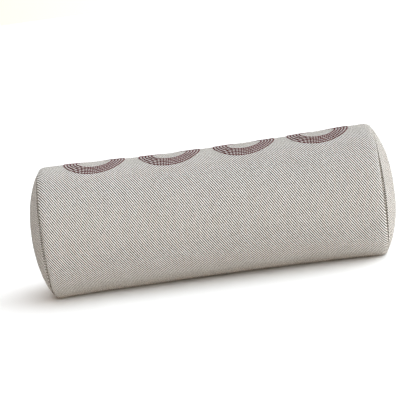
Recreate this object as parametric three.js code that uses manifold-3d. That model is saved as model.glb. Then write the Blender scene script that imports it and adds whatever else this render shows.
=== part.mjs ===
// Bolster pillow for a massage table: a round, stuffed roll lying on its flattened underside.
//
// Millimetres, +Z up, +X along the roll, -Y the side that faces the user. The origin is on the
// surface that the pillow rests on, below its middle.
//
// From outside in it is a woven cover (a body panel and two domed ends, sewn together), four
// embroidered ring motifs along the top, a coil zip low on the back, a thin liner, a soft foam
// sleeve round a firm foam core, and a pad of wadding behind each domed end.

import * as THREE from "three";
import { mergeVertices } from "three/addons/utils/BufferGeometryUtils.js";
import Module from "manifold-3d";

const wasm = await Module();
wasm.setup();

// ---- Driving dimensions ------------------------------------------------------------------

const BODY_LENGTH = 387; // between the two end seams
const DOME_RISE = 18.6; // how far each stuffed end bulges past its seam
const END_RADIUS = 78.4; // round section just inside an end seam
const WAIST_HALF_HEIGHT = 74; // half the height that the roll would have at its middle
const END_FLAT = 28; // half the width of the flattened underside at the ends
const WAIST_FLAT = 10; // and at the middle
const AROUND = 40; // facets round every layer, the same in all, so that the layers nest

const FABRIC = 1.6; // cover cloth
const LINER = 0.8; // liner cloth
const THREAD = 0.6;
const GAP = 0.3; // free space between neighbours

const SEAM_DIP = 3.2; // how far the cover dives in at an end seam
const SEAM_GROOVE = 1.2; // open width of that seam
const ALLOWANCE = 6.2; // cloth turned in behind that seam
const LINER_DEPTH = 4.8; // below the cover's outer face, clear of the zip slider's underside

const RING_RADII = [20.8, 24.4, 28.0, 31.6, 35.2]; // stitched lines of one motif
const RING_LINE = 1.6; // width of a line
const RING_RAISE = 0.7; // its height
const RING_LIFT = 0.9; // its underside above the cloth
const RING_CENTRES = [-130.5, -42.5, 45, 132];

const ZIP_HEIGHT = 44; // of the chain above the resting surface
const ZIP_LENGTH = 280;
const ZIP_SLOT = 10.6; // gap between the folded cover edges
const TAPE = { edge: 13, top: 2.2, bottom: 2.8, step: 4.6, lip: 3.3 };
const COIL = { inner: 0.8, outer: 3.0, low: -1.6, high: 0.4 }; // one row of the chain
const STOP_LENGTH = 2.5;
const TOPSTITCH = 8; // from the chain's centre
const SLIDER = { length: 11, width: 8.6, plate: 1.1, top: 1.85, bottom: -3.15 };
const BRIDGE = { reach: 3.5, leg: 1.2, width: 2, inside: 3.9, outside: 4.9 };
const TAB = { length: 26, width: 7.4, thick: 1.2, pivot: 2.9, hole: 4.8, bar: 1.3, side: 1.5 };

const CORE_RADIUS = 45; // firm core
const FOAM_DEPTH = 5.9; // soft sleeve, below the cover's outer face
const FOAM_END = 182; // half the length of both foams

const LABEL = { width: 25, drop: 30, thick: 0.6, x: -172 };

// ---- The roll's shape ---------------------------------------------------------------------

const SEAM_X = BODY_LENGTH / 2;
const mix = (a, b, t) => a + (b - a) * t;
const centreFrom = (halfHeight, flat) => Math.sqrt(halfHeight ** 2 - flat ** 2);

// The zip lies straight, which fixes how deep the roll is at the zip's height.
const zipDepth = Math.sqrt(
  END_RADIUS ** 2 - (ZIP_HEIGHT - centreFrom(END_RADIUS, END_FLAT)) ** 2,
);

// Half height, half depth and centre height of the oval section at x.
function section(x) {
  const t = Math.min(1, (x / SEAM_X) ** 2);
  const halfHeight = mix(WAIST_HALF_HEIGHT, END_RADIUS, t);
  const centre = centreFrom(halfHeight, mix(WAIST_FLAT, END_FLAT, t));
  const halfDepth = zipDepth / Math.sqrt(1 - ((ZIP_HEIGHT - centre) / halfHeight) ** 2);
  return { halfHeight, halfDepth, centre };
}

// Moves every vertex of a geometry.
function reshape(geometry, move) {
  const position = geometry.getAttribute("position");
  const v = new THREE.Vector3();
  for (let i = 0; i < position.count; i++) {
    v.fromBufferAttribute(position, i);
    move(v);
    position.setXYZ(i, v.x, v.y, v.z);
  }
  return geometry;
}

// Spins a profile of [x, radius] points round the roll's axis, gives it the roll's waisted
// section, and rests it on a floor at the given height.
function roll(profile, floor) {
  const points = profile.map(([x, radius]) => new THREE.Vector2(radius, x));
  const spun = new THREE.LatheGeometry(points, AROUND).rotateZ(-Math.PI / 2);
  return reshape(spun, (v) => {
    const s = section(v.x);
    v.y *= s.halfDepth / END_RADIUS;
    v.z = Math.max(floor, s.centre + (v.z * s.halfHeight) / END_RADIUS);
  });
}

// A profile from end to end, from its half at +x, listed from the middle outwards.
function bothEnds(half) {
  const other = half.map(([x, radius]) => [-x, radius]).reverse();
  return [...other, ...half];
}

// Points of the long straight stretch, shared by every layer.
const stretch = (radius) => [45, 110].map((x) => [x, radius]);

// A domed end's profile from its rim to the axis, puffed out quickly from the rim.
function dome(x, rim, steps = 5) {
  return Array.from({ length: steps + 1 }, (_, i) => {
    const radius = i === steps ? 0 : rim * Math.cos((i / steps) * (Math.PI / 2));
    return [x + DOME_RISE * (1 - (radius / rim) ** 2.4), radius];
  });
}

// The whole stuffed roll as a solid, a depth inside the cover's outer face.
function layer(depth) {
  const radius = END_RADIUS - depth;
  const end = dome(SEAM_X - depth, radius - SEAM_DIP);
  return solid(roll(bothEnds([...stretch(radius), [SEAM_X - 7, radius], ...end]), depth));
}

// ---- Solids and their booleans ------------------------------------------------------------

function solid(geometry) {
  const bare = geometry.index ? geometry.toNonIndexed() : geometry.clone();
  bare.deleteAttribute("normal");
  bare.deleteAttribute("uv");
  const merged = mergeVertices(bare, 1e-3);
  return new wasm.Manifold(
    new wasm.Mesh({
      numProp: 3,
      vertProperties: merged.attributes.position.array,
      triVerts: new Uint32Array(merged.index.array),
    }),
  );
}

function geometryOf(manifold) {
  const mesh = manifold.getMesh();
  return new THREE.BufferGeometry()
    .setAttribute("position", new THREE.BufferAttribute(mesh.vertProperties, 3))
    .setIndex(new THREE.BufferAttribute(mesh.triVerts, 1));
}

const join = (...solids) => solids.reduce((a, b) => a.add(b));

// A box from its lowest to its highest corner.
function box(low, high) {
  const size = high.map((h, i) => h - low[i]);
  const middle = high.map((h, i) => (h + low[i]) / 2);
  return new THREE.BoxGeometry(...size).translate(...middle);
}

// A slab across the whole roll between two stations.
const slab = (from, to) => solid(box([from, -200, -50], [to, 200, 250]));

// ---- Materials and the assembly -----------------------------------------------------------

const finish = (color, roughness, metalness = 0) =>
  new THREE.MeshStandardMaterial({ color, roughness, metalness });

const materials = {
  weave: finish(0xb8b4ae, 0.9),
  ringThread: finish(0x6e2a36, 0.55),
  sewingThread: finish(0xb5afa5, 0.6),
  zipCloth: finish(0xa09b93, 0.85),
  zipCoil: finish(0x8d8981, 0.45),
  metal: finish(0x9a9a9c, 0.35, 1),
  liner: finish(0xf1efe9, 0.9),
  softFoam: finish(0xf2ead0, 0.95),
  firmFoam: finish(0xd9dfe2, 0.95),
  wadding: finish(0xf7f7f5, 1),
  satin: finish(0xf4f3ef, 0.4),
};

const pillow = new THREE.Group();
pillow.name = "bolster_pillow";

function addPart(name, manifold, material) {
  const mesh = new THREE.Mesh(geometryOf(manifold), material);
  mesh.name = name;
  pillow.add(mesh);
}

const sides = [
  ["left", -1],
  ["right", 1],
];

// ---- Cover --------------------------------------------------------------------------------

const rim = END_RADIUS - SEAM_DIP;
const tubeEdge = SEAM_X - SEAM_GROOVE / 2;

// The zip's own frame: x along the chain, y out of the cover, z up across the chain.
const zipSection = section(SEAM_X / 2);
const zipTilt = Math.atan2(
  (ZIP_HEIGHT - zipSection.centre) / zipSection.halfHeight ** 2,
  zipDepth / zipSection.halfDepth ** 2,
);
const fromZip = new THREE.Matrix4()
  .makeTranslation(0, zipDepth, ZIP_HEIGHT)
  .multiply(new THREE.Matrix4().makeRotationX(zipTilt));

// A geometry given in the zip's frame, as a solid in the pillow's frame.
const zipSolid = (geometry) => solid(geometry.applyMatrix4(fromZip));
const zipBox = (low, high) => zipSolid(box(low, high));

// The body panel curls in at both end seams, and is open along the zip.
function coverTube() {
  const curl = [
    [tubeEdge - 6.4, END_RADIUS],
    [tubeEdge - 2.8, END_RADIUS - 0.5],
    [tubeEdge - 0.8, END_RADIUS - 1.7],
    [tubeEdge, rim],
  ];
  const outer = [...stretch(END_RADIUS), ...curl, [tubeEdge, 0]];
  const inner = [
    ...stretch(END_RADIUS - FABRIC),
    [tubeEdge - 6.4, END_RADIUS - FABRIC],
    [tubeEdge - FABRIC, rim - FABRIC],
    [tubeEdge - FABRIC, rim - ALLOWANCE],
    [tubeEdge + 5, rim - ALLOWANCE],
    [tubeEdge + 5, 0],
  ];
  const shell = solid(roll(bothEnds(outer), 0)).subtract(solid(roll(bothEnds(inner), FABRIC)));
  const slotEnd = ZIP_LENGTH / 2 + 2;
  return shell.subtract(zipBox([-slotEnd, -8, -ZIP_SLOT / 2], [slotEnd, 8, ZIP_SLOT / 2]));
}

// A domed end panel at +x or -x, its own edge turned in along the seam.
function coverEnd(side) {
  const edge = SEAM_X + SEAM_GROOVE / 2;
  const inside = rim - ALLOWANCE;
  const outer = [[edge, 0], ...dome(edge, rim)];
  const inner = [[edge - 5, 0], [edge - 5, inside], [edge + FABRIC, inside]];
  const cap = dome(edge - FABRIC, rim).filter(([x, radius]) => radius < inside);
  const mirror = (profile) =>
    side > 0 ? profile : profile.map(([x, radius]) => [-x, radius]).reverse();
  const hollow = solid(roll(mirror([...inner, ...cap]), FABRIC));
  return solid(roll(mirror(outer), 0)).subtract(hollow);
}

// A ring of thread through the turned-in edges, in the seam's groove.
function seamThread(side) {
  const middle = side * SEAM_X;
  const outside = rim - 2.4;
  const reach = THREAD / 2;
  const disc = (half, radius) => {
    const low = [middle - half, 0];
    const high = [middle + half, 0];
    return solid(roll([low, [low[0], radius], [high[0], radius], high], 0));
  };
  return disc(reach, outside).subtract(disc(reach + 1, outside - THREAD));
}

addPart("cover_tube", coverTube(), materials.weave);
for (const [word, side] of sides) {
  addPart(`cover_end_${word}`, coverEnd(side), materials.weave);
  addPart(`end_seam_thread_${word}`, seamThread(side), materials.sewingThread);
}

// ---- Embroidered rings --------------------------------------------------------------------

// One motif, stitched flat: five rings and the single line of thread that links them at the back.
function flatMotif() {
  const flat = { depth: RING_RAISE, bevelEnabled: false, curveSegments: 12 };
  const rings = RING_RADII.map((radius) => {
    const ring = new THREE.Shape().absarc(0, 0, radius + RING_LINE / 2, 0, Math.PI * 2);
    ring.holes.push(new THREE.Path().absarc(0, 0, radius - RING_LINE / 2, 0, Math.PI * 2));
    return solid(new THREE.ExtrudeGeometry(ring, flat));
  });
  const half = RING_LINE / 2;
  const link = box([-half, RING_RADII[0], 0], [half, RING_RADII.at(-1), RING_RAISE]);
  return geometryOf(join(...rings, solid(link)));
}

// The motif laid over the top of the roll at x, keeping its lengths along the cloth.
function motifAt(x) {
  return reshape(flatMotif(), (v) => {
    const s = section(x + v.x);
    const angle = v.y / s.halfHeight;
    const radius = s.halfHeight + RING_LIFT + v.z;
    v.set(
      x + v.x,
      (radius * Math.sin(angle) * s.halfDepth) / s.halfHeight,
      s.centre + radius * Math.cos(angle),
    );
  });
}

RING_CENTRES.forEach((x, i) => {
  addPart(`ring_embroidery_${i + 1}`, solid(motifAt(x)), materials.ringThread);
});

// ---- Zip ----------------------------------------------------------------------------------

const zipEnd = ZIP_LENGTH / 2;
const rows = [
  ["upper", 1],
  ["lower", -1],
];

// A box beside the chain, given for the upper row and mirrored for the lower one.
function rowBox(row, [x0, y0, z0], [x1, y1, z1]) {
  return row > 0 ? zipBox([x0, y0, z0], [x1, y1, z1]) : zipBox([x0, y0, -z1], [x1, y1, -z0]);
}

// A band of cloth or thread that follows the cover, between two distances from the chain.
function band(row, halfLength, from, to, depths) {
  const shell = layer(depths[0]).subtract(layer(depths[1]));
  return shell.intersect(rowBox(row, [-halfLength, -9, from], [halfLength, 9, to]));
}

// One tape: sewn flat under the cover, stepping up to a lip that holds its row of the chain.
function zipTape(row) {
  const flat = band(row, zipEnd + 1, TAPE.step, TAPE.edge, [TAPE.top, TAPE.bottom]);
  const step = rowBox(
    row,
    [-zipEnd - 1, -TAPE.bottom, TAPE.step],
    [zipEnd + 1, -GAP, ZIP_SLOT / 2 - GAP],
  );
  const lip = rowBox(row, [-zipEnd - 1, -0.9, TAPE.lip], [zipEnd + 1, -GAP, TAPE.step + 0.2]);
  return join(flat, step, lip);
}

const coilEnd = zipEnd - STOP_LENGTH - GAP;
for (const [word, row] of rows) {
  const low = [-coilEnd, COIL.low, COIL.inner];
  const high = [coilEnd, COIL.high, COIL.outer];
  const stop = [coilEnd + GAP, COIL.low, COIL.inner];
  addPart(`zip_tape_${word}`, zipTape(row), materials.zipCloth);
  addPart(`zip_coil_${word}`, rowBox(row, low, high), materials.zipCoil);
  addPart(`zip_top_stop_${word}`, rowBox(row, stop, [zipEnd, 0.7, COIL.outer]), materials.metal);
  addPart(
    `zip_topstitch_${word}`,
    band(row, zipEnd + 4, TOPSTITCH - THREAD / 2, TOPSTITCH + THREAD / 2, [-1, -0.4]),
    materials.sewingThread,
  );
}

const bottomStop = zipBox([-zipEnd, COIL.low, -COIL.outer], [-coilEnd - GAP, 0.7, COIL.outer]);
addPart("zip_bottom_stop", bottomStop, materials.metal);

// The slider, closed at the +x end: two plates, the wedge between the rows, and the bridge.
const sliderX = coilEnd - SLIDER.length / 2;

function zipSlider() {
  const half = SLIDER.length / 2;
  const side = SLIDER.width / 2;
  const taper = new THREE.Shape([
    new THREE.Vector2(-half, -side + 1.2),
    new THREE.Vector2(-half + 1.5, -side),
    new THREE.Vector2(half - 1.5, -side),
    new THREE.Vector2(half, -side + 1.2),
    new THREE.Vector2(half, side - 1.2),
    new THREE.Vector2(half - 1.5, side),
    new THREE.Vector2(-half + 1.5, side),
    new THREE.Vector2(-half, side - 1.2),
  ]);
  const plateAt = (top) =>
    new THREE.ExtrudeGeometry(taper, { depth: SLIDER.plate, bevelEnabled: false })
      .rotateX(Math.PI / 2)
      .translate(sliderX, top, 0);
  const wedge = box([sliderX + half - 4.5, SLIDER.bottom + 0.5, -0.5], [sliderX + half, 1.2, 0.5]);
  const { reach, leg, width, inside, outside } = BRIDGE;
  const legAt = (x) => box([x, 1.2, -width / 2], [x + leg, outside, width / 2]);
  const pieces = [
    plateAt(SLIDER.top),
    plateAt(SLIDER.bottom + SLIDER.plate),
    wedge,
    legAt(sliderX - reach),
    legAt(sliderX + reach - leg),
    box([sliderX - reach, inside, -width / 2], [sliderX + reach, outside, width / 2]),
  ];
  return join(...pieces.map(zipSolid));
}

// The pull tab: its short bar passes under the bridge, and it lies back over the closed chain.
function zipPullTab() {
  const half = TAB.width / 2;
  const start = TAB.bar / 2;
  const outline = new THREE.Shape()
    .moveTo(start, half)
    .lineTo(-TAB.length + half, half * 0.8)
    .absarc(-TAB.length + half, 0, half * 0.8, Math.PI / 2, (Math.PI * 3) / 2)
    .lineTo(start, -half);
  const hole = half - TAB.side;
  outline.holes.push(
    new THREE.Path()
      .moveTo(-start, hole)
      .lineTo(-start - TAB.hole, hole)
      .lineTo(-start - TAB.hole, -hole)
      .lineTo(-start, -hole),
  );
  const flat = { depth: TAB.thick, bevelEnabled: false, curveSegments: 8 };
  const plate = new THREE.ExtrudeGeometry(outline, flat)
    .rotateX(Math.PI / 2)
    .translate(sliderX, TAB.pivot + TAB.thick / 2, 0);
  return zipSolid(plate);
}

addPart("zip_slider", zipSlider(), materials.metal);
addPart("zip_pull_tab", zipPullTab(), materials.metal);

// ---- Care label ---------------------------------------------------------------------------

// Caught by its top edge in the body panel's long seam, past the end of the zip.
function careLabel() {
  const { width, drop, thick, x } = LABEL;
  const face = zipDepth + 0.6;
  const low = [x - width / 2, face, ZIP_HEIGHT - drop];
  return solid(box(low, [x + width / 2, face + thick, ZIP_HEIGHT]));
}

addPart("care_label", careLabel(), materials.satin);

// ---- Filling ------------------------------------------------------------------------------

const linerShell = layer(LINER_DEPTH).subtract(layer(LINER_DEPTH + LINER));
const linerEdge = SEAM_X - LINER_DEPTH;
addPart("liner_tube", linerShell.intersect(slab(GAP - linerEdge, linerEdge - GAP)), materials.liner);

const foam = layer(FOAM_DEPTH);
const core = (radius, half) => {
  const profile = [[half, 0], [half, radius], [-half, radius], [-half, 0]].reverse();
  const points = profile.map(([x, r]) => new THREE.Vector2(r, x));
  return solid(
    new THREE.LatheGeometry(points, 24).rotateZ(-Math.PI / 2).translate(0, 0, WAIST_HALF_HEIGHT),
  );
};
const sleeve = foam.intersect(slab(-FOAM_END, FOAM_END));
addPart("foam_sleeve", sleeve.subtract(core(CORE_RADIUS + GAP, FOAM_END + 1)), materials.softFoam);
addPart("foam_core", core(CORE_RADIUS, FOAM_END), materials.firmFoam);

for (const [word, side] of sides) {
  const outwards = (x) => (side > 0 ? slab(x, 300) : slab(-300, -x));
  addPart(`liner_end_${word}`, linerShell.intersect(outwards(linerEdge)), materials.liner);
  addPart(`end_pad_${word}`, foam.intersect(outwards(FOAM_END + GAP)), materials.wadding);
}

export default pillow;
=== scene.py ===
import math
import bmesh
import bpy
from mathutils import Matrix, Vector, noise
from mathutils.bvhtree import BVHTree


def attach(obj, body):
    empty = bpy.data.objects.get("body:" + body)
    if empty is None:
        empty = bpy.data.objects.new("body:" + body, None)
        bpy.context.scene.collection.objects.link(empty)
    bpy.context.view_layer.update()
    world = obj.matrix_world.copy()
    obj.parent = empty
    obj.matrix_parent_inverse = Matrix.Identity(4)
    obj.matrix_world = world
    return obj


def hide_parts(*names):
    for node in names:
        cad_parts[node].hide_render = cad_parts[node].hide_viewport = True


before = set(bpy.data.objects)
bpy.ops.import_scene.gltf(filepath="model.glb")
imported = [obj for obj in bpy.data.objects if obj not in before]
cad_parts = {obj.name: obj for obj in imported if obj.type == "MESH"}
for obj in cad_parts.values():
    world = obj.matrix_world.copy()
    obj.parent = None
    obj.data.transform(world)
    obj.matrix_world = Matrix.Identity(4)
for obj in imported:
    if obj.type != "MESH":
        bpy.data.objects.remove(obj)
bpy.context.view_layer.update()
mm = 0.001

# The roll, shared by every layer of cloth and foam, so that they nest.
rollSize = {
    "seam": 195.1 * mm,  # from the middle to an end seam
    "endRadius": 78.4 * mm,
    "waistHalf": 74.0 * mm,
    "endFlat": 28 * mm,  # half the flattened underside, at the ends
    "waistFlat": 10 * mm,  # and in the middle
    "domeRise": 17.0 * mm,
    "seamDip": 4.4 * mm,
    "zipHeight": 44 * mm,
}


def mix(a, b, t):
    return a + (b - a) * t


def centreOf(half, flat):
    return math.sqrt(half * half - flat * flat)


endCentre = centreOf(rollSize["endRadius"], rollSize["endFlat"])
zipDepth = math.sqrt(rollSize["endRadius"] ** 2 - (rollSize["zipHeight"] - endCentre) ** 2)
zipAngle = math.atan2(zipDepth, rollSize["zipHeight"] - endCentre)  # from straight up, backwards


# Half height, half depth and centre height of the oval section at x.
def sectionAt(x):
    t = min(1.0, (x / rollSize["seam"]) ** 2)
    half = mix(rollSize["waistHalf"], rollSize["endRadius"], t)
    centre = centreOf(half, mix(rollSize["waistFlat"], rollSize["endFlat"], t))
    depth = zipDepth / math.sqrt(1 - ((rollSize["zipHeight"] - centre) / half) ** 2)
    return half, depth, centre


# A point of the roll at x, at an angle from straight up towards the back.
def rollPoint(x, radius, angle, floor=0.0):
    half, depth, centre = sectionAt(x)
    share = radius / rollSize["endRadius"]
    height = max(floor, centre + math.cos(angle) * share * half)
    return Vector((x, math.sin(angle) * share * depth, height))


def domeReach(radius, rim):
    return rollSize["domeRise"] * (1 - (radius / rim) ** 2.4)


def rgb(red, green, blue):
    return tuple(((c / 255 + 0.055) / 1.055) ** 2.4 for c in (red, green, blue)) + (1,)


# Wraps a socket, so that a sum on it adds its Math nodes.
class Wire:
    def __init__(self, finish, socket):
        self.finish = finish
        self.socket = socket

    def sum(self, operation, *values):
        sockets = dict(enumerate(values))
        return self.finish.node("Math", {"operation": operation}, sockets)

    def __add__(self, other):
        return self.sum("ADD", self, other)

    def __sub__(self, other):
        return self.sum("SUBTRACT", self, other)

    def __rsub__(self, other):
        return self.sum("SUBTRACT", other, self)

    def __mul__(self, other):
        return self.sum("MULTIPLY", self, other)

    def __truediv__(self, other):
        return self.sum("DIVIDE", self, other)

    def __lt__(self, other):
        return self.sum("LESS_THAN", self, other)

    __radd__ = __add__
    __rmul__ = __mul__

    def floor(self):
        return self.sum("FLOOR", self)

    def hump(self):
        return self.sum("SINE", self * math.pi)

    def angleWith(self, other):
        return self.sum("ARCTAN2", self, other)

    def atMost(self, other):
        return self.sum("MINIMUM", self, other)


# The nodes of one material or sky, and the one way to add another.
class Finish:
    def __init__(self, owner, place="Object"):
        self.owner = owner
        owner.use_nodes = True
        self.tree = owner.node_tree
        self.tree.nodes.clear()
        self.place = self.node("TexCoord", out=place)
        self.x, self.y, self.z = [self.node("SeparateXYZ", {}, {0: self.place}, a) for a in "XYZ"]

    def node(self, kind, settings=None, sockets=None, out=0):
        made = self.tree.nodes.new("ShaderNode" + kind)
        for name, value in (settings or {}).items():
            setattr(made, name, value)
        for key, value in (sockets or {}).items():
            if isinstance(value, Wire):
                self.tree.links.new(value.socket, made.inputs[key])
            else:
                made.inputs[key].default_value = value
        return Wire(self, made.outputs[out]) if made.outputs else None

    def blend(self, factor, a, b, how="MIX"):
        kind = {"data_type": "RGBA", "blend_type": how}
        return self.node("Mix", kind, {0: factor, 6: a, 7: b}, 2)

    def cloud(self, size, detail=2.0, stretch=(1, 1, 1)):
        spread = self.node("VectorMath", {"operation": "MULTIPLY"}, {0: self.place, 1: stretch})
        return self.node("TexNoise", {}, {"Vector": spread, "Scale": 1 / size, "Detail": detail})

    # A number that differs from one thread to the next.
    def lot(self, count):
        return self.node("TexWhiteNoise", {"noise_dimensions": "1D"}, {"W": count + 0.5})

    def relief(self, height, depth):
        return self.node("Bump", {}, {"Height": height, "Distance": depth})

    def done(self, tint, roughness, relief=None, **fixed):
        sockets = {"Base Color": tint, "Roughness": roughness}
        if relief:
            sockets["Normal"] = relief
        for name, value in fixed.items():
            sockets[name] = value
        skin = self.node("BsdfPrincipled", {}, sockets)
        self.node("OutputMaterial", {}, {"Surface": skin})
        return self.owner


def newFinish(name):
    return Finish(bpy.data.materials.new(name))


# Heavy two-and-two twill, light warp over dark weft, from its distances along and across, with
# painted shade darkening the hollows between the yarns.
twillLook = {
    "warpPitch": 0.66 * mm,
    "weftPitch": 1.04 * mm,
    "warp": rgb(248, 248, 245),
    "warpWorn": rgb(238, 236, 230),
    "weft": rgb(40, 36, 33),
    "weftDark": rgb(22, 20, 18),
    # gap: painted shade, the near-black put in the hollows between the yarns
    "gap": rgb(20, 17, 15),
    "depth": 0.3 * mm,
    "nap": {
        "Sheen Weight": 0.55,
        "Sheen Roughness": 0.28,
        "Sheen Tint": (1.0, 0.9, 0.8, 1),
        "Specular IOR Level": 0.1,
    },
}


def twill(name, along, across):
    look = twillLook
    f = newFinish(name)
    warpWay = along(f) / look["warpPitch"]
    weftWay = across(f) / look["weftPitch"]
    warpCount = warpWay.floor()
    weftCount = weftWay.floor()
    step = warpCount + weftCount
    phase = step - (step / 4).floor() * 4
    warpUp = phase < 1.5
    warpPart = warpWay - warpCount
    weftPart = weftWay - weftCount
    warpFloat = ((phase + weftPart) / 2).hump()
    weftFloat = ((phase - 2 + warpPart) / 2).hump()
    warpHeight = warpPart.hump() * (0.45 + 0.55 * warpFloat)
    weftHeight = weftPart.hump() * (0.45 + 0.55 * weftFloat)
    height = warpUp * warpHeight + (1 - warpUp) * weftHeight
    slub = f.cloud(9 * mm, 3.0)
    warpTint = f.blend(f.lot(warpCount) * 0.5 + slub * 0.5, look["warp"], look["warpWorn"])
    weftTint = f.blend(f.lot(weftCount + 300) * 0.6 + slub * 0.4, look["weft"], look["weftDark"])
    tint = f.blend(warpUp, weftTint, warpTint)
    # Painted shade: the low parts of the weave are blended towards the near-black gap colour.
    tint = f.blend((height * 2.1).atMost(1.0), look["gap"], tint)
    return f.done(tint, 0.9, f.relief(height, look["depth"]), **look["nap"])


# The distance round the roll, with its join hidden behind the zip.
def roundTheRoll(f):
    middle = 73.5 * mm
    away = Vector((-zipDepth, middle - rollSize["zipHeight"])).normalized()
    rise = f.z - middle
    turn = (f.z * away.x - away.x * middle - f.y * away.y).angleWith(f.y * away.x + rise * away.y)
    return turn * rollSize["endRadius"]


bodyCloth = twill("bodyCloth", lambda f: f.x, lambda f: roundTheRoll(f) * -1)
endCloth = twill("endCloth", lambda f: f.z, lambda f: f.y)


def plainThread(name, light, dark, size):
    f = newFinish(name)
    fuzz = f.cloud(size, 4.0)
    tint = f.blend(fuzz, dark, light)
    return f.done(tint, 0.7, f.relief(fuzz, 0.1 * mm), **{"Specular IOR Level": 0.15})


ringThread = plainThread("ringThread", rgb(98, 10, 25), rgb(48, 2, 10), 1.2 * mm)
sewingThread = plainThread("sewingThread", rgb(196, 190, 180), rgb(150, 143, 132), 0.8 * mm)


# Plain weave for the thin cloths, over two directions in metres, with painted shade: each yarn
# lighter on its crest and darker down in the hollows.
def plainWeave(name, along, across, pitch, light, dark, roughness=0.85, depth=0.08 * mm):
    f = newFinish(name)
    first = along(f) / pitch
    second = across(f) / pitch
    odd = first.floor() + second.floor()
    over = odd - (odd / 2).floor() * 2
    height = over * (first - first.floor()).hump() + (1 - over) * (second - second.floor()).hump()
    # Painted shade: the colour follows the yarn height, dark in the hollows between yarns, with a
    # slow cloudy tone.
    tint = f.blend(height * 0.7 + f.cloud(6 * mm) * 0.3, dark, light)
    return f.done(tint, roughness, f.relief(height, depth))


zipCloth = plainWeave(
    "zipCloth", lambda f: f.x, lambda f: f.z, 0.45 * mm, rgb(186, 181, 172), rgb(128, 122, 114)
)
linerCloth = plainWeave(
    "linerCloth", lambda f: f.x, roundTheRoll, 0.5 * mm, rgb(246, 243, 236), rgb(214, 208, 198)
)
linerEndCloth = plainWeave(
    "linerEndCloth", lambda f: f.y, lambda f: f.z, 0.5 * mm, rgb(246, 243, 236), rgb(214, 208, 198)
)
labelSatin = plainWeave(
    "labelSatin", lambda f: f.x, lambda f: f.z, 0.3 * mm, rgb(232, 229, 221), rgb(196, 192, 183),
    0.4, 0.03 * mm,
)


def nylon():
    f = newFinish("nylonCoil")
    tint = f.blend(f.cloud(3 * mm), rgb(150, 145, 136), rgb(178, 173, 163))
    return f.done(tint, f.cloud(2 * mm) * 0.15 + 0.28, **{"Subsurface Weight": 0.1})


def nickel():
    f = newFinish("nickel")
    wear = f.cloud(2.5 * mm, 5.0)
    fine = f.cloud(0.4 * mm, 2.0, (1, 6, 6))
    tint = f.blend(wear, rgb(176, 174, 170), rgb(214, 212, 208))
    return f.done(tint, wear * 0.25 + 0.2, f.relief(fine, 0.015 * mm), Metallic=1.0)


def foam(name, pore, light, dark):
    f = newFinish(name)
    cells = f.node("TexVoronoi", {}, {"Vector": f.place, "Scale": 1 / pore}, "Distance")
    # Painted shade: each pore is coloured darker towards its hollow middle, with a slow cloudy
    # tone on top.
    tint = f.blend(cells * 1.3 + f.cloud(30 * mm) * 0.2, dark, light)
    return f.done(tint, 0.95, f.relief(cells, pore * 0.4))


def wadding():
    f = newFinish("wadding")
    fibres = f.cloud(1.5 * mm, 6.0, (1, 0.25, 1)) + f.cloud(1.5 * mm, 6.0, (1, 1, 0.25))
    # Painted shade: darker where the fibre relief is low, lighter on the raised fibres.
    tint = f.blend(fibres * 0.5, rgb(222, 222, 220), rgb(250, 250, 248))
    return f.done(tint, 1.0, f.relief(fibres, 0.6 * mm), **{"Sheen Weight": 0.3})


coilNylon = nylon()
zipMetal = nickel()
softFoam = foam("softFoam", 1.1 * mm, rgb(244, 236, 210), rgb(206, 194, 158))
firmFoam = foam("firmFoam", 0.7 * mm, rgb(220, 226, 230), rgb(168, 176, 182))
padWadding = wadding()


def addPiece(name, mesh, finish, body):
    mesh.materials.append(finish)
    mesh.shade_smooth()
    piece = bpy.data.objects.new(name, mesh)
    bpy.context.scene.collection.objects.link(piece)
    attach(piece, body)
    return piece


def makePiece(name, points, faces, finish, slot):
    mesh = bpy.data.meshes.new(name)
    mesh.from_pydata([tuple(p) for p in points], [], faces)
    mesh.validate()
    return addPiece(name, mesh, finish, "pillow")


def turnOutwards(piece):
    shape = bmesh.new()
    shape.from_mesh(piece.data)
    bmesh.ops.recalc_face_normals(shape, faces=shape.faces)
    shape.to_mesh(piece.data)
    shape.free()


# Quads between neighbouring rings of equal length.
def ringFaces(rings, count, closed=True):
    faces = []
    for j in range(rings - 1):
        for i in range(count if closed else count - 1):
            k = (i + 1) % count
            faces.append((j * count + i, (j + 1) * count + i, (j + 1) * count + k, j * count + k))
    return faces


# A round tube along a path of points, shut at both ends.
def tubeAlong(path, radius, sides=6):
    points = []
    count = len(path)
    for i, p in enumerate(path):
        before = path[i - 1] if i else p
        after = path[i + 1] if i < count - 1 else p
        way = (after - before).normalized()
        side = way.cross(Vector((0.31, 0.17, 0.93))).normalized()
        up = side.cross(way)
        for k in range(sides):
            turn = 2 * math.pi * k / sides
            points.append(p + radius * (math.cos(turn) * side + math.sin(turn) * up))
    caps = [tuple(range(sides))[::-1], tuple(range((count - 1) * sides, count * sides))]
    return points, ringFaces(count, sides) + caps


coverPlan = {
    "columns": 156,  # round the body, beside the zip's own three
    "slotRows": 44,
    "flatRows": 14,
    "curlRows": 6,
    "domeRings": 16,
    "slotHalf": 5.3 * mm,
    "slotEnd": 142 * mm,
    "edge": 194.2 * mm,
    "curl": 8.5 * mm,
    "turnIn": 1.8 * mm,  # from the rounded edge down to where the cloth runs straight in
    "lean": 0.1 * mm,
    "valley": 7.2 * mm,  # how deep both cloths turn in at a seam
    "gapeReach": 2.2 * mm,
}


def coverColumns():
    half = coverPlan["slotHalf"] / rollSize["endRadius"]
    step = (2 * math.pi - 2 * half) / coverPlan["columns"]
    around = [zipAngle + half + step * k for k in range(coverPlan["columns"] + 1)]
    return around + [zipAngle + half * t for t in (-0.5, 0.0, 0.5)]


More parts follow.
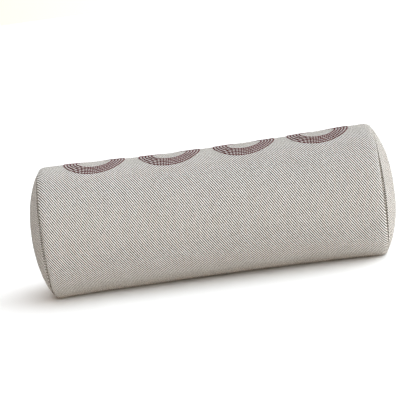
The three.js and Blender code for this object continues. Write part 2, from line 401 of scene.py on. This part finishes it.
# Each row of the whole cover, as its distance along and its radius, from the middle to the right.
def coverRows():
    radius = rollSize["endRadius"]
    edge, curl = coverPlan["edge"], coverPlan["curl"]
    slot, slotRows = coverPlan["slotEnd"], coverPlan["slotRows"]
    rows = [(slot * k / slotRows, radius, "body") for k in range(slotRows + 1)]
    flat, flatRows = edge - curl - slot, coverPlan["flatRows"]
    rows += [(slot + flat * k / flatRows, radius, "body") for k in range(1, flatRows + 1)]
    for k in range(1, coverPlan["curlRows"] + 1):
        turn = k / coverPlan["curlRows"] * math.pi / 2
        dip = rollSize["seamDip"] * (1 - math.cos(turn))
        rows.append((edge - curl + curl * math.sin(turn), radius - dip, "edge"))
    rim = radius - rollSize["seamDip"]
    inner, lean = rim - coverPlan["turnIn"], coverPlan["lean"]
    farEdge = 2 * rollSize["seam"] - edge
    rows.append((edge + lean, inner, "edge"))
    rows.append((rollSize["seam"], radius - coverPlan["valley"], "valley"))
    rows.append((farEdge - lean, inner, "rim"))
    for k in range(coverPlan["domeRings"]):
        share = math.cos(k / coverPlan["domeRings"] * math.pi / 2)
        x = farEdge + domeReach(share * rim, rim)
        rows.append((x, share * rim, "rim" if k == 0 else "dome"))
    return rows


# How far a seam gapes: open along the front and the back, almost shut on top and beneath,
# and at the right end widest high on the front.
def gape(turn, right):
    wide = 0.9 * max(0.0, math.sin(0.35 - turn)) ** 6 if right else 0.45
    return mix(0.15, 1 + wide, abs(math.sin(turn)) ** (4 if right else 2.5))


def coverPoint(x, radius, turn):
    seam = math.copysign(rollSize["seam"], x)
    near = math.exp(-(((x - seam) / coverPlan["gapeReach"]) ** 4))
    return rollPoint(seam + (x - seam) * mix(1, gape(turn, x > 0), near), radius, turn)


# The whole cover as one closed skin: its rows from the left end to the right, then both poles.
def closedCover():
    right = coverRows()
    left = [(-x, radius, part) for x, radius, part in right[:0:-1]]
    rows = left + right
    columns = coverColumns()
    points = [coverPoint(x, radius, turn) for x, radius, part in rows for turn in columns]
    count = len(columns)
    faces = ringFaces(len(rows), count)
    tip = 2 * rollSize["seam"] - coverPlan["edge"] + rollSize["domeRise"]
    for side, first in ((-1, 0), (1, (len(rows) - 1) * count)):
        points.append(rollPoint(side * tip, 0, 0))
        for i in range(count):
            pair = (first + i, first + (i + 1) % count)
            faces.append(pair[::-side] + (len(points) - 1,))
    return rows, columns, points, faces


def isSlot(rows, j, i):
    inGap = i >= coverPlan["columns"]
    return inGap and abs(rows[j][0]) <= coverPlan["slotEnd"] + 1e-6


# Whether a column lies within some columns of the zip.
def besideZip(i, some):
    return i < some or i > coverPlan["columns"] - some


stuffPlan = {
    "slack": 0.25 * mm,  # cut smaller than it is stuffed
    "cap": 2.0 * mm,
    "frames": 20,
    "edgeHold": 0.6,
    "zipHalf": 150 * mm,
    "zipColumns": 4,
    "cloth": {
        "quality": 5,
        "mass": 0.02,
        "tension_stiffness": 5,
        "compression_stiffness": 5,
        "shear_stiffness": 2,
        "bending_stiffness": 0.5,
        "use_pressure": True,
        "uniform_pressure_force": 4.0,
    },
}


# Blows the skin up a little, held at its seams and round its zip.
def stuffed(rows, columns, points, faces):
    plan = stuffPlan
    mesh = bpy.data.meshes.new("stuffing")
    start = []
    for p in points:
        outwards = Vector((0, p.y, p.z - endCentre)).normalized()
        start.append(p - outwards * plan["slack"])
    mesh.from_pydata([tuple(p) for p in start], [], faces)
    skin = bpy.data.objects.new("stuffing", mesh)
    scene = bpy.context.scene
    scene.collection.objects.link(skin)
    held = skin.vertex_groups.new(name="sewn")
    count = len(columns)
    for j, (x, radius, part) in enumerate(rows):
        for i in range(count):
            nearZip = abs(x) < plan["zipHalf"] and besideZip(i, plan["zipColumns"])
            if part in ("valley", "rim") or nearZip:
                held.add([j * count + i], 1.0, "REPLACE")
            elif part == "edge":
                held.add([j * count + i], plan["edgeHold"], "REPLACE")
    cloth = skin.modifiers.new("cloth", "CLOTH")
    for name, value in plan["cloth"].items():
        setattr(cloth.settings, name, value)
    cloth.settings.vertex_group_mass = "sewn"
    cloth.settings.effector_weights.gravity = 0
    cloth.point_cache.frame_start = 1
    cloth.point_cache.frame_end = plan["frames"]
    for moment in range(1, plan["frames"] + 1):
        scene.frame_set(moment)
    shown = skin.evaluated_get(bpy.context.evaluated_depsgraph_get())
    grown = [v.co.copy() for v in shown.data.vertices]
    scene.frame_set(1)
    bpy.data.objects.remove(skin)
    result = []
    for p, q in zip(points, grown):
        move = q - p
        if move.length > plan["cap"]:
            move *= plan["cap"] / move.length
        result.append(p + move)
    return result


settlePlan = {
    "broad": 0.5 * mm,
    "broadLength": 50 * mm,
    "fine": 0.12 * mm,
    "fineLength": 16 * mm,
    "pucker": 0.9 * mm,
    "puckerReach": 7 * mm,
    "quietHalf": 152 * mm,  # the cloth beside the zip stays as drawn
    "quietColumns": 5,
}


# Small unevenness of cloth over stuffing, and the pull of the stitches beside each seam.
def settle(p, x, turn):
    plan = settlePlan
    outwards = Vector((0, math.sin(turn), math.cos(turn)))
    broad = noise.noise(Vector((x / plan["broadLength"], turn * 1.6, 3.1))) * plan["broad"]
    fine = noise.noise(Vector((x / plan["fineLength"], turn * 5.0, 9.4))) * plan["fine"]
    pull = math.exp(-abs(abs(x) - rollSize["seam"]) / plan["puckerReach"])
    pucker = noise.noise(Vector((turn * 9.0, math.copysign(4.0, x), 0.5))) * plan["pucker"]
    moved = p + outwards * (broad + fine + pull * pucker)
    moved.z = max(0.0, moved.z)
    return moved


def coverPanels():
    rows, columns, points, faces = closedCover()
    shaped = stuffed(rows, columns, points, faces)
    count = len(columns)
    for j, (x, radius, part) in enumerate(rows):
        for i in range(count):
            k = j * count + i
            nearZip = besideZip(i, settlePlan["quietColumns"])
            quiet = nearZip and abs(x) < settlePlan["quietHalf"]
            shaped[k] = points[k] if quiet else settle(shaped[k], x, columns[i])
    valley = [j for j, row in enumerate(rows) if row[2] == "valley"]
    bodyRows = range(valley[0], valley[1])
    bodyFaces = [
        faces[j * count + i]
        for j in bodyRows
        for i in range(count)
        if not (isSlot(rows, j, i) and isSlot(rows, j + 1, i))
    ]
    last = (len(rows) - 1) * count
    left = faces[: valley[0] * count] + faces[last : last + count]
    right = faces[valley[1] * count : last] + faces[last + count :]
    return shaped, bodyFaces, {"Left": left, "Right": right}


# Drops the points that no face uses.
def compact(points, faces):
    used = sorted({k for face in faces for k in face})
    place = {k: n for n, k in enumerate(used)}
    return [points[k] for k in used], [tuple(place[k] for k in face) for face in faces]


hemPlan = {
    "half": 143 * mm,
    "folds": ((0.5, -0.25), (0.9, 0.35), (1.1, 2.5)),  # millimetres in, and away from the zip
}


# Folds the cloth under, all along the open edges of the zip's slot.
def hemSlot(piece):
    shape = bmesh.new()
    shape.from_mesh(piece.data)
    shape.normal_update()
    edges = [
        e
        for e in shape.edges
        if e.is_boundary and all(abs(v.co.x) < hemPlan["half"] and v.co.y > 0 for v in e.verts)
    ]
    middle = Vector((0, zipDepth, rollSize["zipHeight"]))
    for inwards, aside in hemPlan["folds"]:
        grown = bmesh.ops.extrude_edge_only(shape, edges=edges)["geom"]
        for v in [g for g in grown if isinstance(g, bmesh.types.BMVert)]:
            fromMiddle = v.co - middle
            fromMiddle.x = 0
            normal = Vector((0, v.co.y, v.co.z - endCentre)).normalized()
            across = (fromMiddle - normal * fromMiddle.dot(normal)).normalized()
            v.co += (across * aside - normal * inwards) * mm
        edges = [g for g in grown if isinstance(g, bmesh.types.BMEdge)]
    shape.to_mesh(piece.data)
    shape.free()


def smoothOut(piece):
    finer = piece.modifiers.new("finer", "SUBSURF")
    finer.levels = 1
    finer.render_levels = 1


shapedCover, bodyFaces, endFaces = coverPanels()
coverBody = makePiece("coverBody", *compact(shapedCover, bodyFaces), bodyCloth, "weave")
turnOutwards(coverBody)
hemSlot(coverBody)
smoothOut(coverBody)
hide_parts("cover_tube")
for side in ("Left", "Right"):
    end = makePiece("coverEnd" + side, *compact(shapedCover, endFaces[side]), endCloth, "weave")
    turnOutwards(end)
    smoothOut(end)
    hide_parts("cover_end_" + side.lower())
print("cover sewn and stuffed")

coverTree = BVHTree.FromObject(coverBody, bpy.context.evaluated_depsgraph_get())


# The point of the finished cover at x and an angle, and the way out of it.
def onCover(x, turn):
    centre = Vector((x, 0, sectionAt(x)[2]))
    outwards = Vector((0, math.sin(turn), math.cos(turn)))
    hit, normal, index, reach = coverTree.ray_cast(centre + outwards * 0.12, -outwards)
    if hit is None:
        return rollPoint(x, rollSize["endRadius"], turn), outwards
    return hit, normal if normal.dot(outwards) > 0 else -normal


ringPlan = {
    "radii": [20.8, 24.4, 28.0, 31.6, 35.2],
    "centres": [-129, -41, 46, 132.5],
    "half": 0.9 * mm,  # half the width of a line
    "rise": 0.6 * mm,
    "above": 0.05 * mm,
    "step": 0.45 * mm,
    "perStitch": 3,  # steps from one slanted stitch to the next
    "sides": 8,
}


def ringLine(points, faces, middle, radius):
    plan = ringPlan
    sides, perStitch = plan["sides"], plan["perStitch"]
    count = round(2 * math.pi * radius / plan["step"] / perStitch) * perStitch
    around = sectionAt(middle)[0]
    first = len(points)
    for i in range(count):
        turn = 2 * math.pi * i / count
        x = middle + radius * math.cos(turn)
        lean = radius * math.sin(turn) / around
        base, normal = onCover(x, lean)
        way = Vector((-math.sin(turn), math.cos(turn) * math.cos(lean), 0))
        way.z = -math.cos(turn) * math.sin(lean)
        across = normal.cross(way).normalized()
        for k in range(sides):
            t = k / (sides - 1)
            slant = math.cos((i / perStitch + t * 0.8) * 2 * math.pi)
            rise = math.sin(t * math.pi) ** 0.6 * plan["rise"] * (0.85 + 0.15 * slant)
            aside = (t * 2 - 1) * plan["half"] * (0.94 + 0.06 * slant)
            points.append(base + across * aside + normal * (rise + plan["above"]))
    for i in range(count):
        here = first + i * sides
        there = first + (i + 1) % count * sides
        for k in range(sides):
            m = (k + 1) % sides
            faces.append((here + k, here + m, there + m, there + k))


for number, middle in enumerate(ringPlan["centres"], 1):
    points, faces = [], []
    for radius in ringPlan["radii"]:
        ringLine(points, faces, middle * mm, radius * mm)
    rings = makePiece(f"ringMotif{number}", points, faces, ringThread, "ring_thread")
    turnOutwards(rings)
    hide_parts(f"ring_embroidery_{number}")
print("rings embroidered")

stitchPlan = {
    "length": 3.0 * mm,
    "gap": 0.7 * mm,
    "thread": 0.28 * mm,
    "steps": 6,
    "arch": 0.42 * mm,
    "bury": 0.18 * mm,
    "fromChain": 8 * mm,
    "half": 144 * mm,
}


# One stitch that dives into the cloth at both ends.
def addStitch(points, faces, start, end, normal):
    path = []
    for k in range(stitchPlan["steps"] + 1):
        t = k / stitchPlan["steps"]
        lift = math.sin(math.pi * t) ** 0.5 * stitchPlan["arch"] - stitchPlan["bury"]
        path.append(start.lerp(end, t) + normal * lift)
    more, quads = tubeAlong(path, stitchPlan["thread"])
    first = len(points)
    points.extend(more)
    faces.extend(tuple(first + k for k in quad) for quad in quads)


def zipTopstitch(side):
    points, faces = [], []
    turn = zipAngle - side * stitchPlan["fromChain"] / rollSize["endRadius"]
    pitch = stitchPlan["length"] + stitchPlan["gap"]
    count = round(2 * stitchPlan["half"] / pitch)
    for k in range(count):
        x = -stitchPlan["half"] + k * pitch
        start, normal = onCover(x, turn)
        end, normal = onCover(x + stitchPlan["length"], turn)
        addStitch(points, faces, start, end, normal)
    return points, faces


for side, word in ((1, "Upper"), (-1, "Lower")):
    line = makePiece("zipTopstitch" + word, *zipTopstitch(side), sewingThread, "sewing_thread")
    turnOutwards(line)
    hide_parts("zip_topstitch_" + word.lower())


seamPlan = {"count": 144, "share": 0.8, "depth": 6.2 * mm, "half": 0.3 * mm, "floor": 0.6 * mm}


# Stitches from one turned-in edge to the other, down in the groove of an end seam.
def seamStitches(side):
    points, faces = [], []
    plan = seamPlan
    x = side * rollSize["seam"]
    radius = rollSize["endRadius"] - plan["depth"]
    for k in range(plan["count"]):
        turn = 2 * math.pi * k / plan["count"]
        ahead = turn + 2 * math.pi / plan["count"] * plan["share"]
        start = rollPoint(x - side * plan["half"], radius, turn, plan["floor"])
        end = rollPoint(x + side * plan["half"], radius, ahead, plan["floor"])
        normal = Vector((0, math.sin(turn), math.cos(turn)))
        addStitch(points, faces, start, end, normal)
    return points, faces


for side, word in ((-1, "Left"), (1, "Right")):
    seam = makePiece("seamThread" + word, *seamStitches(side), sewingThread, "sewing_thread")
    turnOutwards(seam)
    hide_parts("end_seam_thread_" + word.lower())
print("seams stitched")

tapePlan = {
    "end": 141 * mm,
    "rows": 120,
    "thick": 0.45 * mm,
    "lip": [(3.3, -0.35), (4.5, -0.35), (4.85, -0.6), (4.9, -2.35)],  # millimetres away and out
    "under": 2.3 * mm,  # below the cover's outer face
    "from": 5.2 * mm,
    "to": 12.8 * mm,
    "columns": 8,
}
coilPlan = {
    "end": 137.2 * mm,
    "pitch": 1.3 * mm,
    "steps": 14,
    "wire": 0.27 * mm,
    "head": 0.85 * mm,  # from the middle, clear of the slider's wedge
    "heel": 3.0 * mm,
    "middle": -0.58 * mm,
    "swing": 0.62 * mm,
}
zipHalf, zipAcross, zipMiddle = sectionAt(rollSize["seam"] / 2)
zipTilt = math.atan2(
    (rollSize["zipHeight"] - zipMiddle) / zipHalf**2,
    zipDepth / zipAcross**2,
)
zipPlace = Matrix.Translation((0, zipDepth, rollSize["zipHeight"]))
zipPlace = zipPlace @ Matrix.Rotation(zipTilt, 4, "X")


# One tape, from its lip beside the chain to its outer edge under the cover.
def zipTape(side):
    plan = tapePlan
    rows, columns = plan["rows"], plan["columns"]
    spread = [mix(plan["from"], plan["to"], k / columns) for k in range(columns + 1)]
    top, under = [], []
    for j in range(rows + 1):
        x = mix(-plan["end"], plan["end"], j / rows)
        for away, out in plan["lip"]:
            top.append(zipPlace @ Vector((x, out * mm, side * away * mm)))
            isLast = (away, out) == plan["lip"][-1]
            inwards = Vector((0, 0, -side)) if isLast else Vector((0, -1, 0))
            under.append(top[-1] + zipPlace.to_3x3() @ inwards * plan["thick"])
        for away in spread:
            turn = zipAngle - side * away / rollSize["endRadius"]
            top.append(rollPoint(x, rollSize["endRadius"] - plan["under"], turn))
            inwards = -Vector((0, math.sin(turn), math.cos(turn)))
            under.append(top[-1] + inwards * plan["thick"])
    count = len(plan["lip"]) + len(spread)
    faces = ringFaces(rows + 1, count, closed=False)
    first = len(top)
    faces += [tuple(first + k for k in face[::-1]) for face in faces]
    for j in range(rows):
        for i in (0, count - 1):
            a, b = j * count + i, (j + 1) * count + i
            faces.append((a, b, first + b, first + a))
    for j in (0, rows):
        for i in range(count - 1):
            a, b = j * count + i, j * count + i + 1
            faces.append((a, b, first + b, first + a))
    return top + under, faces


def zipCoil(side):
    plan = coilPlan
    steps = plan["steps"]
    turns = int(2 * plan["end"] / plan["pitch"]) - 1
    path = []
    reach = (plan["heel"] - plan["head"]) / 2
    for k in range(turns * steps):
        turn = 2 * math.pi * k / steps
        x = -plan["end"] + (k / steps + (0.25 if side > 0 else 0.75)) * plan["pitch"]
        away = plan["head"] + reach - math.cos(turn) * reach
        out = plan["middle"] + math.sin(turn) * plan["swing"]
        path.append(zipPlace @ Vector((x, out, side * away)))
    return tubeAlong(path, plan["wire"])


for side, word in ((1, "Upper"), (-1, "Lower")):
    tape = makePiece("zipTape" + word, *zipTape(side), zipCloth, "zip_cloth")
    turnOutwards(tape)
    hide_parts("zip_tape_" + word.lower())
    coil = makePiece("zipCoil" + word, *zipCoil(side), coilNylon, "zip_coil")
    turnOutwards(coil)
    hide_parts("zip_coil_" + word.lower())


# The body of each cast metal part of the zip, and how far its edges are worn.
castPlan = {
    "zip_slider": ("slider", 0.3 * mm),
    "zip_pull_tab": ("pull_tab", 0.25 * mm),
    "zip_top_stop_upper": ("pillow", 0.3 * mm),
    "zip_top_stop_lower": ("pillow", 0.3 * mm),
    "zip_bottom_stop": ("pillow", 0.3 * mm),
}


# The shape of a CAD solid, with its edges worn round.
def castPiece(node, body, bevel):
    first, *others = node.split("_")
    name = first + "".join(word.capitalize() for word in others)
    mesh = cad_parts[node].data.copy()
    mesh.name = name
    shape = bmesh.new()
    shape.from_mesh(mesh)
    bmesh.ops.remove_doubles(shape, verts=shape.verts, dist=1e-6)
    flat = math.radians(2)
    bmesh.ops.dissolve_limit(shape, angle_limit=flat, verts=shape.verts, edges=shape.edges)
    shape.to_mesh(mesh)
    shape.free()
    mesh.materials.clear()
    piece = addPiece(name, mesh, zipMetal, body)
    worn = piece.modifiers.new("worn", "BEVEL")
    worn.width = bevel
    worn.segments = 3
    worn.limit_method = "ANGLE"
    worn.angle_limit = math.radians(35)
    worn.harden_normals = True
    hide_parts(node)


for node, (body, bevel) in castPlan.items():
    castPiece(node, body, bevel)
print("zip built")

labelPlan = {
    "width": 25 * mm,
    "drop": 30 * mm,
    "x": -172 * mm,
    "thick": 0.35 * mm,
    "across": 16,
    "down": 20,
}


# The ribbon hangs from the seam, curls back in at its foot and twists a little.
def labelSheet():
    across, down = labelPlan["across"], labelPlan["down"]
    points = []
    for j in range(down + 1):
        t = j / down
        for i in range(across + 1):
            s = i / across - 0.5
            x = labelPlan["x"] + s * labelPlan["width"]
            lift = 0.9 + 1.1 * math.sin(t * 2.4) - 2.6 * t**3
            lift += (0.9 * math.sin(s * 5.2 + 0.6) + 1.6 * s * t) * t
            z = rollSize["zipHeight"] - t * labelPlan["drop"]
            points.append(Vector((x, zipDepth + lift * mm, z)))
    return points, ringFaces(down + 1, across + 1, closed=False)


label = makePiece("careLabel", *labelSheet(), labelSatin, "label_satin")
thickness = label.modifiers.new("ribbon", "SOLIDIFY")
thickness.thickness = labelPlan["thick"]
thickness.offset = 0
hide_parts("care_label")


fillPlan = {
    "around": 96,
    "linerDepth": 4.9 * mm,
    "linerThick": 0.6 * mm,
    "linerEdge": 190.3 * mm,
    "foamDepth": 6.0 * mm,
    "foamEnd": 182 * mm,
    "core": 45 * mm,
    "coreHeight": 74 * mm,
    "coreChamfer": 1 * mm,
    "coreFit": 0.4 * mm,
    "slope": 7 * mm,  # over which the filling narrows before a seam
    "wrinkle": 0.35 * mm,
    "linerRows": 110,
    "domeRows": 14,
    "sleeveRows": 60,
    "coreRows": 40,
}


def turnsAround():
    return [2 * math.pi * k / fillPlan["around"] for k in range(fillPlan["around"])]


def fillRadius(x, depth):
    radius = rollSize["endRadius"] - depth
    fromEdge = rollSize["seam"] - fillPlan["slope"] - abs(x)
    if fromEdge < 0:
        radius += fromEdge / (fillPlan["slope"] - depth) * rollSize["seamDip"]
    return radius


# A point of an inner layer, slightly wrinkled, and no lower than its floor.
def skinPoint(x, radius, turn, floor, seed):
    p = rollPoint(x, radius, turn, floor)
    small = noise.noise(Vector((x / (18 * mm), turn * 7, seed)))
    p += Vector((0, math.sin(turn), math.cos(turn))) * (small - 0.6) * fillPlan["wrinkle"]
    p.z = max(floor, p.z)
    return p


def linerBody():
    edge = fillPlan["linerEdge"] - 0.5 * mm
    depth = fillPlan["linerDepth"]
    turns = turnsAround()
    rows = fillPlan["linerRows"]
    stops = [-edge + 2 * edge * k / rows for k in range(rows + 1)]
    points = [
        skinPoint(x, fillRadius(x, depth), turn, depth, 2.0) for x in stops for turn in turns
    ]
    return points, ringFaces(len(stops), len(turns))


# A domed skin, and the solid behind it if it is closed at a flat back.
def domePiece(side, depth, back=None):
    turns = turnsAround()
    rim = rollSize["endRadius"] - depth - rollSize["seamDip"]
    rows = []
    if back is not None:
        rows = [(back, 1e-5), (back, rim * 0.5), (back, rim + 1.5 * mm), (back + 4 * mm, rim + mm)]
    for k in range(fillPlan["domeRows"]):
        radius = rim * math.cos(k / fillPlan["domeRows"] * math.pi / 2)
        rows.append((rollSize["seam"] - depth + domeReach(radius, rim), radius))
    points = [skinPoint(side * x, r, turn, depth, 5.0 + side) for x, r in rows for turn in turns]
    faces = ringFaces(len(rows), len(turns))
    points.append(rollPoint(side * (rollSize["seam"] - depth + rollSize["domeRise"]), 0, 0))
    last = (len(rows) - 1) * len(turns)
    for i in range(len(turns)):
        faces.append((last + i, last + (i + 1) % len(turns), len(points) - 1))
    if back is not None:
        faces.append(tuple(range(len(turns))))
    return points, faces


# A point of the round core or its bore.
def corePoint(x, radius, turn):
    height = fillPlan["coreHeight"] + radius * math.cos(turn)
    return Vector((x, radius * math.sin(turn), height))


def foamSleeve():
    turns = turnsAround()
    end, rows = fillPlan["foamEnd"], fillPlan["sleeveRows"]
    stops = [-end + 2 * end * k / rows for k in range(rows + 1)]
    depth = fillPlan["foamDepth"]
    radius = rollSize["endRadius"] - depth
    points = [skinPoint(x, radius, turn, depth, 8.0) for x in stops for turn in turns]
    bore = fillPlan["core"] + fillPlan["coreFit"]
    points += [corePoint(x, bore, turn) for x in stops[::-1] for turn in turns]
    count = len(turns)
    last = (2 * len(stops) - 1) * count
    faces = ringFaces(2 * len(stops), count)
    faces += [(last + k, last + (k + 1) % count, (k + 1) % count, k) for k in range(count)]
    return points, faces


def foamCore():
    turns = turnsAround()
    end, radius, chamfer = fillPlan["foamEnd"], fillPlan["core"], fillPlan["coreChamfer"]
    steps = fillPlan["coreRows"]
    face = [(end, 1e-5), (end, 30 * mm), (end, radius - chamfer), (end - chamfer, radius)]
    rows = [(-x, r) for x, r in face]
    rows += [(-end + 2 * end * k / steps, radius) for k in range(1, steps)]
    rows += face[::-1]
    points = [corePoint(x, r, turn) for x, r in rows for turn in turns]
    count = len(turns)
    last = (len(rows) - 1) * count
    faces = ringFaces(len(rows), count) + [tuple(range(count)), tuple(range(last, last + count))]
    return points, faces


def padPiece(name, made, finish, slot, node):
    piece = makePiece(name, *made, finish, slot)
    turnOutwards(piece)
    if slot == "liner_cloth":
        cloth = piece.modifiers.new("cloth", "SOLIDIFY")
        cloth.thickness = fillPlan["linerThick"]
        cloth.offset = -1
    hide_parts(node)


padPiece("linerBody", linerBody(), linerCloth, "liner_cloth", "liner_tube")
padPiece("foamSleeve", foamSleeve(), softFoam, "soft_foam", "foam_sleeve")
padPiece("foamCore", foamCore(), firmFoam, "firm_foam", "foam_core")
for side, word in ((-1, "Left"), (1, "Right")):
    node = word.lower()
    skin = domePiece(side, fillPlan["linerDepth"])
    padPiece("linerEnd" + word, skin, linerEndCloth, "liner_cloth", "liner_end_" + node)
    pad = domePiece(side, fillPlan["foamDepth"] + 0.2 * mm, fillPlan["foamEnd"] + 0.4 * mm)
    padPiece("endPad" + word, pad, padWadding, "wadding", "end_pad_" + node)
print("filling made")


floorPlan = {"half": 6.0, "height": -0.2 * mm}


def floorFinish():
    f = newFinish("paleFloor")
    return f.done(f.blend(f.cloud(0.5), rgb(247, 246, 243), rgb(250, 249, 247)), 0.9)


def addFloor():
    half, height = floorPlan["half"], floorPlan["height"]
    corners = [(-half, -half), (half, -half), (half, half), (-half, half)]
    mesh = bpy.data.meshes.new("floor")
    mesh.from_pydata([corner + (height,) for corner in corners], [], [(0, 1, 2, 3)])
    mesh.materials.append(floorFinish())
    floor = bpy.data.objects.new("floor", mesh)
    bpy.context.scene.collection.objects.link(floor)


addFloor()

lightPlan = {
    "left": (0.2, 0.1, 0.03, 1),  # sky on the dim side
    "right": (2.75, 2.75, 2.75, 1),
    "low": (1.1, 0.95, 0.8, 1),  # what the sky is tinted with near the floor
    "high": (0.93, 1.01, 1.09, 1),
    "key": {"place": (1.4, -2.0, 1.2), "size": 1.4, "power": 5.3, "tint": (0.84, 0.95, 1.0)},
    "fill": {"place": (0.2, -2.3, 0.2), "size": 0.4, "power": 8.0, "tint": (1.0, 0.81, 0.62)},
}


def addLight(name):
    plan = lightPlan[name]
    lamp = bpy.data.lights.new(name, "AREA")
    lamp.size = plan["size"]
    lamp.energy = plan["power"]
    lamp.color = plan["tint"]
    made = bpy.data.objects.new(name, lamp)
    made.location = plan["place"]
    aim = Vector((0, 0, 0.07)) - made.location
    made.rotation_euler = aim.to_track_quat("-Z", "Y").to_euler()
    bpy.context.scene.collection.objects.link(made)


# A pale studio all round, brighter towards +x and warmer low down.
def addSky():
    sky = Finish(bpy.data.worlds.new("studio"), "Generated")
    smooth = {"interpolation_type": "SMOOTHSTEP"}
    across = sky.node("MapRange", smooth, {"Value": sky.x, "From Min": -1.0}, "Result")
    upwards = sky.node("MapRange", smooth, {"Value": sky.z, "From Max": 0.6}, "Result")
    warmth = sky.blend(upwards, lightPlan["low"], lightPlan["high"])
    shade = sky.blend(across, lightPlan["left"], lightPlan["right"])
    shade = sky.blend(1.0, shade, warmth, "MULTIPLY")
    glow = sky.node("Background", {}, {"Color": shade})
    sky.node("OutputWorld", {}, {"Surface": glow})
    bpy.context.scene.world = sky.owner


addSky()
addLight("key")
addLight("fill")
bpy.context.scene.view_settings.view_transform = "Standard"

cameraPlan = {
    "distance": 2.0,
    "height": 10.0,  # degrees above level
    "yaw": 0.9,
    "roll": 7.87,
    "lens": 148,
    "sensor": 36,
    "aim": (-5.0 * mm, 0, 78 * mm),
}


def addCamera():
    plan = cameraPlan
    lens = bpy.data.cameras.new("camera")
    lens.lens = plan["lens"]
    lens.sensor_width = plan["sensor"]
    made = bpy.data.objects.new("camera", lens)
    rise = math.radians(plan["height"])
    yaw = math.radians(plan["yaw"])
    back = Vector((math.sin(yaw), -math.cos(yaw), math.tan(rise))).normalized()
    made.location = Vector(plan["aim"]) + back * plan["distance"]
    turn = (-back).to_track_quat("-Z", "Y").to_matrix().to_4x4()
    turn = turn @ Matrix.Rotation(math.radians(-plan["roll"]), 4, "Z")
    made.rotation_euler = turn.to_euler()
    bpy.context.scene.collection.objects.link(made)
    bpy.context.scene.camera = made


addCamera()
